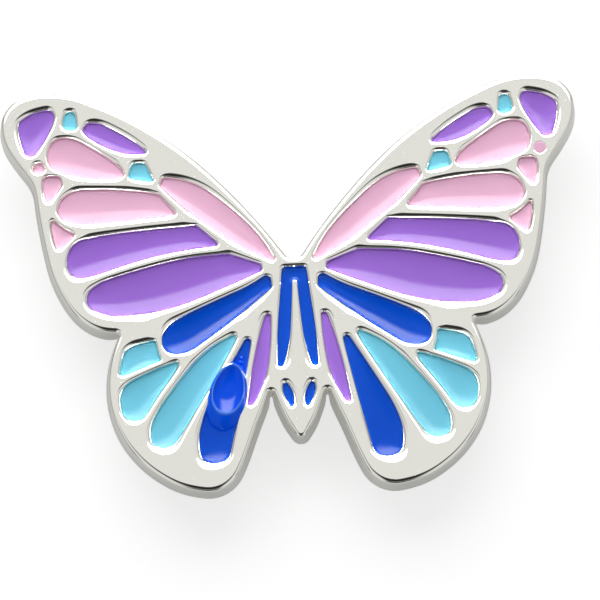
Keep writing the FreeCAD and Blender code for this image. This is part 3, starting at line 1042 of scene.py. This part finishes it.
# ---- raised enamel -----------------------------------------------------------------------
@dataclass
class RaisedDrop:
    """Blob of enamel over the left inner hindwing cell: dished top, narrow crest with a painted highlight,
    rounded wall.
    """

    plate_top: float
    crest_centre: tuple[float, float] = (-4.87, -7.445)
    crest_size: tuple[float, float] = (1.06, 1.75)
    foot_centre: tuple[float, float] = (-4.97, -7.86)
    foot_size: tuple[float, float] = (1.46, 2.55)
    lean: float = -14.7
    crest: float = 0.42
    dish: float = 0.06
    foot: float = -0.80
    narrowing: float = 0.14
    dish_power: float = 3.2
    bead: float = 0.045
    bead_width: float = 0.055
    # strength of the painted highlight along the crest
    bead_mark: float = 0.85
    dish_run: float = 1.3
    wall_run: float = 0.6
    around: int = 168
    rows: int = 24
    small_drops: tuple[tuple[float, float, float], ...] = (
        (-3.93, -5.16, 0.17), (-4.02, -5.48, 0.21))
    small_drops_below: float = 0.43

    def rows_of(self) -> tuple[Array, Array]:
        """How far each row lies from the middle to the crest, and from the crest to the foot."""
        step = np.linspace(0, 1, self.rows + 1)[1:]
        return np.sin(step * math.pi / 2), step**1.6

    def bell(self, away: Array) -> Array:
        """The bead's height at some way from the crest, from 0 to 1."""
        return np.exp(-((away / self.bead_width) ** 2))

    def ellipses(self, centres: Array, sizes: Array, heights: Array) -> Array:
        """Leaning ellipses, one for each row.

        Args:
            centres: middle of each (n, 2).
            sizes: half width and half length of each (n, 2).
            heights: height of each above the plate's top (n,).

        Returns:
            Points (n, around, 3).
        """
        angle = np.arange(self.around) * 2 * math.pi / self.around
        across = sizes[:, :1] * np.cos(angle)
        along = sizes[:, 1:] * np.sin(angle)
        across = across * (1 - self.narrowing * np.sin(angle))
        lean = math.radians(self.lean)
        x = centres[:, :1] + across * math.cos(lean) - along * math.sin(lean)
        y = centres[:, 1:] + across * math.sin(lean) + along * math.cos(lean)
        return np.dstack([x, y, np.broadcast_to(heights[:, None], x.shape) + self.plate_top])

    def blob(self) -> Shape:
        """The dish and the wall.

        With s from 0 at the middle to 1 at the crest the dish rises as s to the power 3.2. With t
        from 0 at the crest to 1 at the foot the wall falls as 0.3 (1 - t) + 0.7 times the root of
        (1 - t squared). A bell-shaped bead runs along the crest.
        """
        s, t = (rows[:, None] for rows in self.rows_of())
        near, far = np.array([self.crest_centre]), np.array([self.foot_centre])
        small, large = np.array([self.crest_size]), np.array([self.foot_size])
        fall = 0.3 * (1 - t) + 0.7 * np.sqrt(1 - t**2)
        bowl = self.dish + (self.crest - self.dish) * s**self.dish_power
        bowl += self.bead * self.bell((1 - s) * self.dish_run)
        dish = self.ellipses(near + 0 * s, small * s, bowl[:, 0])
        fall += self.bead / (self.crest - self.foot) * self.bell(t * self.wall_run)
        wall = self.ellipses(
            near + (far - near) * t, small + (large - small) * t,
            (self.foot + (self.crest - self.foot) * fall)[:, 0])
        middle = np.array([*self.crest_centre, self.plate_top + self.dish])
        under = np.array([*self.foot_centre, self.plate_top + self.foot])
        return capped(np.concatenate([dish, wall]), middle, under)

    def mark_crest(self, piece: bpy.types.Object) -> None:
        """Paint a highlight along the crest: store how close each ring of points lies to the crest, from 0
        to 1, as the attribute that pales the colour there.
        """
        s, t = self.rows_of()
        away = np.concatenate([(1 - s) * self.dish_run, t * self.wall_run])
        marks = np.append(np.repeat(self.bead_mark * self.bell(away), self.around), [0.0, 0.0])
        crest = piece.data.attributes.new("crest", "FLOAT", "POINT")
        crest.data.foreach_set("value", marks)

    def build(self) -> list[bpy.types.Object]:
        """Make the drop and the small drops at the cell's narrow end."""
        material = material_of(Enamel.BRIGHT_BLUE)
        tail = ("body", "enamel_raised_drop", "enamel_bright_blue", material)
        pieces = [self.blob().piece("raised_drop", *tail)]
        # painted highlight along the crest
        self.mark_crest(pieces[0])
        angle = np.linspace(0, math.pi, 18)
        for number, (x, y, radius) in enumerate(self.small_drops):
            ball = turned(radius * np.column_stack([np.sin(angle), np.cos(angle)]), 32)
            ball = ball.stood((x, y, self.plate_top - self.small_drops_below), AXES_ALONG_Z)
            pieces.append(ball.piece(f"enamel_bead_{number}", *tail))
        return pieces


# ---- bar pin -----------------------------------------------------------------------------
@dataclass
class BarPin:
    """The finding on the back: strip with ears and sleeve, slotted roller, rivet, stem and solder."""

    axis_height: float = 1.3
    bar_bottom: float = 2.9
    bar_top: float = 3.5
    bar_half: tuple[float, float] = (12.0, 1.7)
    bar_corner: float = 0.45
    bedding: float = 0.3
    bar_hole: float = 0.8
    bar_hole_x: float = 4.0
    hinge_x: float = 10.2
    ear_inner: float = 0.95
    ear_thickness: float = 0.5
    ear_half: float = 1.1
    rivet: float = 0.40
    rivet_head: float = 0.75
    rivet_dome: tuple[float, float] = (0.05, 0.22)
    knuckle: float = 1.0
    knuckle_half: float = 0.75
    knuckle_bore: float = 0.45
    knuckle_step: float = 0.13
    knuckle_end: float = 0.9
    wire: float = 0.42
    root: float = 0.62
    root_end: float = 8.4
    wire_end: float = 9.5
    taper_start: float = -7.5
    point: float = -11.8
    tip: tuple[float, float] = (0.10, 0.08)
    catch_x: float = -10.2
    sleeve: tuple[float, float] = (1.2, 1.6)
    sleeve_half: float = 0.8
    shoulder: float = 1.0
    opening: float = 75.0
    roller: tuple[float, float] = (0.62, 1.12)
    roller_half: float = 0.9
    flange: float = 1.35
    flange_thickness: float = 0.25
    slot_half: float = 0.45
    tab_angle: float = 57.0
    tab_start: float = 0.85
    tab_reach: float = 1.95
    tab_half: tuple[float, float] = (0.6, 0.225)
    solder_x: float = 8.2
    solder_radius: float = 2.05
    solder_flank: tuple[float, float] = (0.42, 0.27)
    solder_level: tuple[float, float] = (3.485, 3.755)
    solder_swell: float = 0.03

    def strip(self) -> Shape:
        """The long strip with its two round holes."""
        (half_length, half_width), cut = self.bar_half, self.bar_corner
        corners = [
            (half_length, half_width - cut), (half_length - cut, half_width),
            (cut - half_length, half_width), (-half_length, half_width - cut),
            (-half_length, cut - half_width), (cut - half_length, -half_width),
            (half_length - cut, -half_width), (half_length, cut - half_width)]
        outer = rounded_ring(corners, soft=0.14, step=0.08)
        holes = [
            arc(self.bar_hole, 0, 360, 65)[:-1] + (side * self.bar_hole_x, 0.0) for side in (-1, 1)]
        return slab(outer, holes, self.bar_bottom, self.bar_top, rounding=0.12)

    def ear(self, side: int) -> Shape:
        """One ear, round at its foot, with the rivet's hole, on one side of the hinge."""
        foot = arc(self.ear_half, 90, 270) + (self.ear_half, 0.0)
        top = self.bar_bottom + self.bedding
        corners = np.vstack([foot, (top, -self.ear_half), (top, self.ear_half)])
        hole = arc(self.rivet + 0.01, 0, 360, 49)[:-1] + (self.axis_height, 0.0)
        low = self.ear_inner if side > 0 else -self.ear_inner - self.ear_thickness
        shape = slab(
            rounded_ring(corners, soft=0.05), [hole], low, low + self.ear_thickness, rounding=0.08)
        return shape.stood((self.hinge_x, 0, 0), AXES_ALONG_Y)

    def c_ring(self, outer: float, inner: float, half_slot: float) -> Array:
        """Outline of a slotted ring, with its slot towards its own -Y."""
        reach = [math.degrees(math.asin(half_slot / radius)) for radius in (outer, inner)]
        return np.vstack([
            arc(outer, -90 + reach[0], 270 - reach[0], 90),
            arc(inner, 270 - reach[1], -90 + reach[1], 70)])

    def catch_sleeve(self) -> Shape:
        """The C-shaped sleeve with its foot under the strip."""
        inner, outer = self.sleeve
        turn = math.degrees(math.asin(self.shoulder / outer))
        top = self.bar_bottom + self.bedding - self.axis_height
        corners = np.vstack([
            arc(outer, -90 + self.opening, 90 - turn, 30), (self.shoulder, top), (-self.shoulder, top),
            arc(outer, 90 + turn, 270 - self.opening, 30),
            arc(inner, 270 - self.opening, -90 + self.opening, 60)])
        shape = slab(
            rounded_ring(corners, soft=0.05), [], -self.sleeve_half, self.sleeve_half, rounding=0.07)
        return shape.stood((self.catch_x, 0, self.axis_height), AXES_ALONG_X)

    def roller_part(self, outer: float, low: float, high: float, rounding: float) -> Shape:
        """One slotted length of the roller between two places along it."""
        corners = self.c_ring(outer, self.roller[0], self.slot_half)
        shape = slab(rounded_ring(corners, soft=0.035, step=0.035), [], low, high, rounding)
        return shape.stood((self.catch_x, 0, self.axis_height), AXES_ALONG_X)

    def tab(self) -> Shape:
        """The thumb tab that stands out from the roller."""
        width, thickness = self.tab_half
        corners = [
            (-width, self.tab_start), (width, self.tab_start), (width, self.tab_reach),
            (-width, self.tab_reach)]
        shape = slab(
            rounded_ring(corners, soft=0.14, step=0.05), [], -thickness, thickness, rounding=0.12)
        lean = math.radians(self.tab_angle)
        outwards = (0.0, math.sin(lean), -math.cos(lean))
        across = (0.0, math.cos(lean), math.sin(lean))
        return shape.stood((self.catch_x, 0, self.axis_height), [(1, 0, 0), outwards, across])

    def rivet_shape(self) -> Shape:
        """The rivet: shank and two domed heads."""
        outside = self.ear_inner + self.ear_thickness
        start, rise = self.rivet_dome
        angle = np.linspace(0, math.pi / 2, 9)
        head = np.column_stack([
            self.rivet_head * np.sin(angle), outside + start + rise * np.cos(angle)])
        half = np.vstack([head, (self.rivet_head, outside), (self.rivet, outside - 0.005)])
        profile = np.vstack([half, (half * (1, -1))[::-1]])
        return turned(profile, 56).stood((self.hinge_x, 0, self.axis_height), AXES_ALONG_Y)

    def knuckle_shape(self) -> Shape:
        """The knuckle: a strip rolled once round the rivet, whose end leaves a small step."""
        angle = np.linspace(0, 2 * math.pi, 140, endpoint=False)
        radius = self.knuckle - self.knuckle_step * (1 - angle / (2 * math.pi))
        turn = angle + self.knuckle_end
        outer = softened(radius[:, None] * np.column_stack([np.cos(turn), np.sin(turn)]), 1.2)
        hole = arc(self.knuckle_bore, 0, 360, 57)[:-1]
        shape = slab(outer, [hole], -self.knuckle_half, self.knuckle_half, rounding=0.09)
        return shape.stood((self.hinge_x, 0, self.axis_height), AXES_ALONG_Y)

    def wire_shape(self) -> Shape:
        """The stem's wire, from its thicker root to its rounded point."""
        neck, gap, taper_power = 0.35, 0.30, 1.15
        blend = np.linspace(0, 1, 9)
        eased = blend * blend * (3 - 2 * blend)
        root = np.column_stack([
            self.root + (self.wire - self.root) * eased, self.root_end + gap - neck * blend])
        run = np.linspace((self.wire, self.root_end - gap), (self.wire, self.taper_start), 40)
        radius, length = self.tip
        share = np.linspace(0, 1, 24)[1:]
        taper = np.column_stack([
            self.wire + (radius - self.wire) * share**taper_power,
            self.taper_start + (self.point + length - self.taper_start) * share])
        angle = np.linspace(0.3, math.pi / 2, 6)
        tip = np.column_stack([
            radius * np.cos(angle), self.point + length - length * np.sin(angle)])
        start = [(0.0, self.wire_end), (self.root, self.wire_end)]
        profile = np.vstack([start, root, run, taper, tip])
        profile[-1, 0] = 0.0
        return turned(profile, 40).stood((0, 0, self.axis_height), AXES_ALONG_X)

    def solder(self, side: int) -> Shape:
        """A flat pad of solder with a hollow flank, which has crept out round the strip."""
        angle = np.linspace(0, math.pi / 2, 8)
        (narrower, lower), (low, high) = self.solder_flank, self.solder_level
        flank = np.column_stack([
            self.solder_radius - narrower * np.sin(angle), high - lower * (1 - np.cos(angle))])
        shape = turned(np.vstack([(0.0, high), flank, (0.0, low)]), 96)
        around = np.arctan2(shape.places[:, 1], shape.places[:, 0])
        swell = 1 + self.solder_swell * np.sin(3 * around + side)
        shape.places[:, :2] *= swell[:, None]
        return shape.stood((side * self.solder_x, 0, 0), AXES_ALONG_Z)

    def build(self) -> list[bpy.types.Object]:
        """Make every piece of the finding."""
        finding, steel, solder = FINDING.material(), PIN_STEEL.material(), SOLDER.material()
        bar = ("body", "pin_bar", "finding_metal", finding)
        roller = ("roller", "catch_roller", "finding_metal", finding)
        stem = ("stem", "pin_stem", "pin_steel", steel)
        inner, end = self.roller_half, self.roller_half + self.flange_thickness
        return [
            self.strip().piece("bar_strip", *bar),
            self.ear(-1).piece("hinge_ear_near", *bar),
            self.ear(1).piece("hinge_ear_far", *bar),
            self.catch_sleeve().piece("catch_sleeve", *bar),
            self.roller_part(self.roller[1], -inner, inner, 0.03).piece("roller_barrel", *roller),
            self.roller_part(self.flange, -end, -inner, 0.06).piece("roller_flange_outer", *roller),
            self.roller_part(self.flange, inner, end, 0.06).piece("roller_flange_inner", *roller),
            self.tab().piece("roller_tab", *roller),
            self.knuckle_shape().piece("stem_knuckle", *stem),
            self.wire_shape().piece("stem_wire", *stem),
            self.rivet_shape().piece("rivet", "body", "hinge_rivet", "pin_steel", steel),
            *(self.solder(side).piece(
                f"solder_{end_name}", "body", f"solder_pad_{end_name}", "solder", solder)
              for side, end_name in ((1, "hinge_end"), (-1, "catch_end")))]


# ---- studio ------------------------------------------------------------------------------
@dataclass
class Studio:
    """Camera, floor, soft light and surroundings."""

    focal: float = 192.0
    sensor: float = 36.0
    tilt: float = -13.0
    swing: float = 0.36080
    roll: float = 2.39226
    shift: tuple[float, float] = (-0.3638, 0.9799)
    distance: float = 223.970
    drawing_middle: float = 0.245
    plate_top: float = 5.75
    box_pitch: float = 42.0
    box_left: float = 0.12
    box_distance: float = 0.60
    box_size: tuple[float, float] = (0.66, 0.46)
    fill_radiance: float = 2.45
    open_shade: float = 0.46
    before_to_beyond: tuple[tuple[float, float], ...] = (
        (-180, 0.75), (-130, 0.50), (-100, 0.06), (-62, 0.05), (-60, 0.7), (-57, 0.7), (-55, 0.03),
        (-3, 0.03), (4, 0.35), (8, 0.86), (19.5, 0.86), (22.5, 8.0), (26, 20.0), (104, 22.0),
        (112, 1.2), (180, 0.80))
    side_to_side: tuple[tuple[float, float], ...] = (
        (-180, 0.55), (-165, 0.60), (-155, 0.06), (-140, 0.80), (-60, 0.84), (60, 0.84),
        (120, 0.80), (150, 0.70), (160, 0.05), (168, 0.9), (180, 0.5))
    sides_from_to: tuple[float, float] = (0.22, 0.50)
    floor_half: float = 3.0
    floor_glow: float = 0.25
    floor_glow_seen: float = 0.42

    def camera(self) -> None:
        """Place the camera, which looks down on the brooch from its tail's side."""
        turn = (
            Matrix.Rotation(math.radians(self.roll), 3, "Z")
            @ Matrix.Rotation(math.radians(self.swing), 3, "Y")
            @ Matrix.Rotation(math.radians(self.tilt), 3, "X"))
        to_world = turn.transposed()
        middle = Vector((0.0, -self.drawing_middle, self.plate_top))
        place = to_world @ Vector((-self.shift[0], -self.shift[1], self.distance)) + middle
        lens = bpy.data.cameras.new("camera")
        lens.lens = self.focal
        lens.sensor_width = self.sensor
        lens.clip_start = 0.01
        lens.clip_end = 20.0
        camera = bpy.data.objects.new("camera", lens)
        camera.matrix_world = Matrix.Translation(place * MM) @ to_world.to_4x4()
        bpy.context.scene.collection.objects.link(camera)
        bpy.context.scene.camera = camera

    def soft_box(self) -> None:
        """The softbox's light on the colours, from beyond the forewings and a little to the left."""
        light = bpy.data.lights.new("softbox", "AREA")
        light.shape = "RECTANGLE"
        light.size, light.size_y = self.box_size
        light.energy = self.fill_radiance * math.pi * self.box_size[0] * self.box_size[1]
        lamp = bpy.data.objects.new("softbox", light)
        pitch = math.radians(self.box_pitch)
        direction = Vector((-self.box_left, math.sin(pitch), math.cos(pitch))).normalized()
        lamp.location = direction * self.box_distance
        lamp.rotation_mode = "QUATERNION"
        lamp.rotation_quaternion = direction.to_track_quat("Z", "Y")
        lamp.visible_glossy = False
        bpy.context.scene.collection.objects.link(lamp)

    def surroundings(self) -> None:
        """What mirrors see: cream overhead, the softbox brightening away from the viewer, a dark gap
        on the viewer's side, greys low down and at the sides. Matt colours see an even pale sky."""
        world = bpy.data.worlds.new("studio")
        bpy.context.scene.world = world
        world.use_nodes = True
        world.cycles.sampling_method = "NONE"
        w = Wiring(world.node_tree)
        split = w.node("ShaderNodeSeparateXYZ")
        w.put(split.inputs[0], w.node("ShaderNodeTexCoord").outputs["Generated"])
        x, y, z = split.outputs
        pitch = w.math("DIVIDE", w.math("ARCTAN2", y, z), math.pi)
        around = self.ramp(w, pitch, self.before_to_beyond)
        sideways = self.ramp(w, x, self.side_to_side)
        at_sides = w.rise(w.math("ABSOLUTE", x), *self.sides_from_to)
        shade = w.mix(at_sides, around, sideways)
        matt = w.node("ShaderNodeLightPath").outputs["Is Diffuse Ray"]
        backdrop = world.node_tree.nodes["Background"]
        w.put(backdrop.inputs["Color"], w.mix(matt, shade, (*([self.open_shade] * 3), 1.0)))

    def ramp(self, w: Wiring, value: Socket, stops: tuple[tuple[float, float], ...]) -> Socket:
        """Greys along a value from -1 to 1.

        Args:
            w: wiring of the tree.
            value: the value.
            stops: its place from -180 to 180 and the radiance there.

        Returns:
            The grey.
        """
        made = w.node("ShaderNodeValToRGB")
        w.put(made.inputs[0], w.math("ADD", w.math("MULTIPLY", value, 0.5), 0.5))
        elements = made.color_ramp.elements
        elements.remove(elements[-1])
        for k, (angle, radiance) in enumerate(stops):
            stop = elements.new((angle + 180) / 360) if k else elements[0]
            stop.position = (angle + 180) / 360
            stop.color = (radiance, radiance, radiance, 1.0)
        return made.outputs[0]

    def floor(self) -> None:
        """A plain pale floor under the brooch."""
        mesh = bpy.data.meshes.new("floor")
        corners = [(-1, -1), (1, -1), (1, 1), (-1, 1)]
        mesh.from_pydata(
            [(x * self.floor_half, y * self.floor_half, 0) for x, y in corners], [], [(0, 1, 2, 3)])
        floor = bpy.data.objects.new("floor", mesh)
        bpy.context.scene.collection.objects.link(floor)
        finish = Finish("floor")
        w = finish.w
        cloud = finish.group("clouds", Cloud=3.0, Grain=900.0, Contrast=0.5)["Share"]
        finish.feed("Base Color", w.mix(cloud, (0.43, 0.43, 0.43, 1.0), (0.45, 0.45, 0.45, 1.0)))
        finish.feed("Roughness", 0.9)
        finish.feed("Specular IOR Level", 0.0)
        finish.feed("Emission Color", (1.0, 1.0, 1.0, 1.0))
        seen = w.node("ShaderNodeLightPath").outputs["Is Camera Ray"]
        glow = w.math("ADD", w.math("MULTIPLY", seen, self.floor_glow_seen), self.floor_glow)
        finish.feed("Emission Strength", glow)
        mesh.materials.append(finish.material)

    def build(self) -> None:
        """Set everything up."""
        self.camera()
        self.soft_box()
        self.surroundings()
        self.floor()
        bpy.context.scene.view_settings.view_transform = "Standard"


def main() -> None:
    """Build every class in order and report each piece."""
    logging.basicConfig(level=logging.INFO, format="%(name)s: %(message)s")
    Studio().build()
    plate = ButterflyPlate()
    pieces = [plate.build()]
    for ring in plate.cells:
        cell = ring.node.replace("enamel_", "").replace("_left", "").replace("_right", "")
        pieces.append(EnamelFill(ring, plate.top, plate.pocket, ENAMEL_OF[cell]).build())
    pieces += RaisedDrop(plate.top).build()
    pieces += BarPin().build()
    for piece in pieces:
        LOG.info("%s: %d faces", piece.name, len(piece.data.polygons))


if __name__ == "__main__":
    main()
